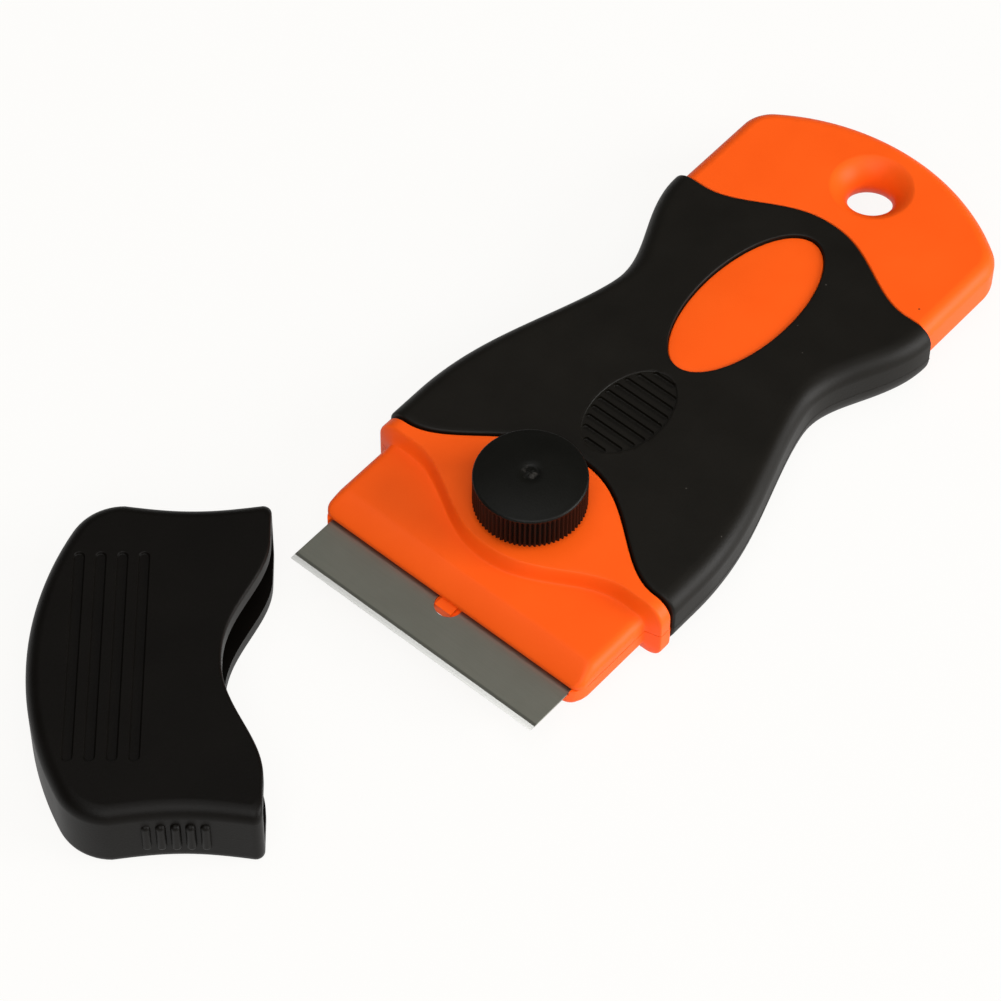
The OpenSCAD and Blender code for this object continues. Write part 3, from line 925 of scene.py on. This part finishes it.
cap_groove_round = 0.15
cap_lay = (blade_low.x - 14.6, 8.15, -cap_base)
cap_turn = -48.85


def mouth_line(y):
    return step_x - tip_gap - (step_reach - tip_gap + cap_gap) * hump(y, step_half, lobe_power)


def cap_outline(inset, z):
    """Plan of the cap as it sits on the jaw, at an inset and with its mouth's rim rounded."""
    lip = edge_inset(z, cap_base, cap_top, cap_lip)
    closed = [(-x, y) for x, y in arched_end(-cap_end, cap_half, cap_arch, cap_corner, inset)]
    mouth_x = step_x - tip_gap - tip_r - lip
    tip = cap_half - inset - tip_r
    run = [(mix(mouth_x, closed[0][0], t), cap_half - cap_waist * math.sin(math.pi * t) - inset)
           for t in steps(0, 1, 40)[1:-1]]
    return (arc(mouth_x, -tip, tip_r, -90, 0, 8)
            + [(mouth_line(y) - lip, y) for y in steps(-tip, tip, face_steps)[1:-1]]
            + arc(mouth_x, tip, tip_r, 0, 90, 8)
            + run + closed[::-1] + [(x, -y) for x, y in reversed(run)])


def cap_rib(x, y):
    """Short upright rib with round ends."""
    reach = cap_rib_h / 2 - cap_rib_r
    ends = [(cap_rib_r * math.cos(a), reach + cap_rib_r * math.sin(a))
            for a in steps(0, math.pi / 2, 6)]
    levels = [(r, mid_z - h) for r, h in reversed(ends)] + [(r, mid_z + h) for r, h in ends]
    return stack("rib", [(circle(x, r, 24, y), z) for r, z in levels])


def cap_black():
    """Satin black plastic with faint flow marks and a few dull rubbed patches."""
    material, nodes = finish("cap_black")
    place = nodes.place()
    flow = nodes.noise(place, size=8, detail=4.0)
    grain = nodes.noise(place, size=0.3, detail=3.0)
    colour = nodes.blend(flow, (0.0014, 0.0009, 0.0004, 1), (0.003, 0.0022, 0.0013, 1))
    nodes.principled({
        "Base Color": colour,
        "Roughness": 0.4 + 0.14 * flow,
        "Specular IOR Level": 0.13,
        "Normal": nodes.bump(grain, depth=0.015),
    })
    return material


cap = stack("slip_on_cap", [(cap_outline(inset, z), z)
                            for inset, z in round_levels(cap_base, cap_top, cap_edge)])
rib_x = cap_end + cap_rib_inset
ribs = [cap_rib(rib_x + cap_rib_pitch * (k - (cap_ribs - 1) / 2), side * (cap_half - cap_waist))
        for side in (-1, 1) for k in range(cap_ribs)]
change(cap, "UNION", joined(ribs))
room = [(step_x + over, room_half), (step_x + over, -room_half)]
room += [(-x, y) for x, y in arched_end(-cap_end, cap_half, cap_arch, cap_corner,
                                        cap_half - room_half)]
room_high = jaw_face + cap_gap
change(cap, "DIFFERENCE", prism("room", room, mid_z - room_high, mid_z + room_high))
slots = [slot_cutter(cap_end + cap_groove_inset + cap_groove_pitch * k, cap_groove_len / 2,
                     cap_groove_half, cap_top, cap_groove_depth, cap_groove_round)
         for k in range(cap_grooves)]
change(cap, "DIFFERENCE", joined(slots))
choose(cap)
cap.location.x = -step_x
bpy.ops.object.transform_apply()
cap.rotation_euler.z = math.radians(cap_turn)
cap.location = cap_lay
bpy.ops.object.transform_apply()
dress(cap, cap_black(), "cap", "blade_cap")

# Table
# Plain white studio sheet under the tool. It shows as white, and keeps a faint shadow.
table_z = -0.02


def studio_white():
    """Paper white to the camera and in reflections, and a plain diffuse sheet to the lamps."""
    material, nodes = finish("studio_white")
    path = {name: nodes.add("ShaderNodeLightPath", {}, {}, k)
            for k, name in ((0, "camera"), (3, "glossy"), (6, "through"))}
    seen = path["camera"] + path["glossy"] + path["through"]
    sheet = nodes.add("ShaderNodeBsdfDiffuse", {}, {"Color": (0.9, 0.89, 0.88, 1)})
    white = nodes.add("ShaderNodeEmission", {}, {"Color": (0.99, 0.982, 0.965, 1)})
    shown = nodes.add("ShaderNodeMixShader", {}, {0: 0.92 * seen, 1: sheet, 2: white})
    nodes.add("ShaderNodeOutputMaterial", {}, {"Surface": shown})
    return material


bpy.ops.mesh.primitive_plane_add(size=6, location=(0, 0, table_z * MM))
table = bpy.context.object
table.name = "table"
table.data.materials.append(studio_white())

# Studio light
# A wide soft box over the table, another behind the camera and a small low one to the camera's
# right, in a dim grey room.
view_target = Vector((-15.61, 7.906, 0)) * MM
view_distance = 532.85 * MM
view_heading = 40.15
view_height = 53.4
view_roll = 0.73
view_lens = 153.3


def soft_box(name, place, aim, size, radiance):
    """Square lamp at a place in metres that faces another place."""
    way = Vector(place) - Vector(aim)
    bpy.ops.object.light_add(type="AREA", location=place,
                             rotation=way.to_track_quat("Z", "Y").to_euler())
    lamp = bpy.context.object
    lamp.name = name
    lamp.data.size = size
    lamp.data.energy = radiance * math.pi * size * size


soft_box("overhead", (0.0, 0.2, 1.75), aim=(0.0, 0.2, 0), size=1.1, radiance=1.8)
soft_box("front", (-0.75, -0.62, 1.15), aim=view_target, size=1.2, radiance=3.6)
soft_box("key", (0.53, -1.02, 0.36), aim=view_target, size=0.8, radiance=9.0)

room_light = bpy.data.worlds.new("room")
bpy.context.scene.world = room_light
room_light.use_nodes = True
air = Nodes(room_light.node_tree)
dim = air.add("ShaderNodeBackground", {}, {"Color": (0.13, 0.13, 0.13, 1)})
bright = air.add("ShaderNodeBackground", {}, {"Color": (1, 1, 1, 1)})
air.add("ShaderNodeOutputWorld", {}, {"Surface": air.add(
    "ShaderNodeMixShader", {}, {0: air.add("ShaderNodeLightPath", {}, {}), 1: dim, 2: bright})})

# Camera
# It looks down along the handle from the blade's side, as the photograph does.
heading, height = math.radians(view_heading), math.radians(view_height)
look = Vector((math.cos(height) * math.cos(heading), math.cos(height) * math.sin(heading),
               -math.sin(height)))
turn = look.to_track_quat("-Z", "Y") @ Quaternion((0, 0, 1), math.radians(view_roll))
bpy.ops.object.camera_add(location=view_target - look * view_distance, rotation=turn.to_euler())
camera = bpy.context.object
camera.data.lens = view_lens
bpy.context.scene.camera = camera
bpy.context.scene.view_settings.view_transform = "Standard"
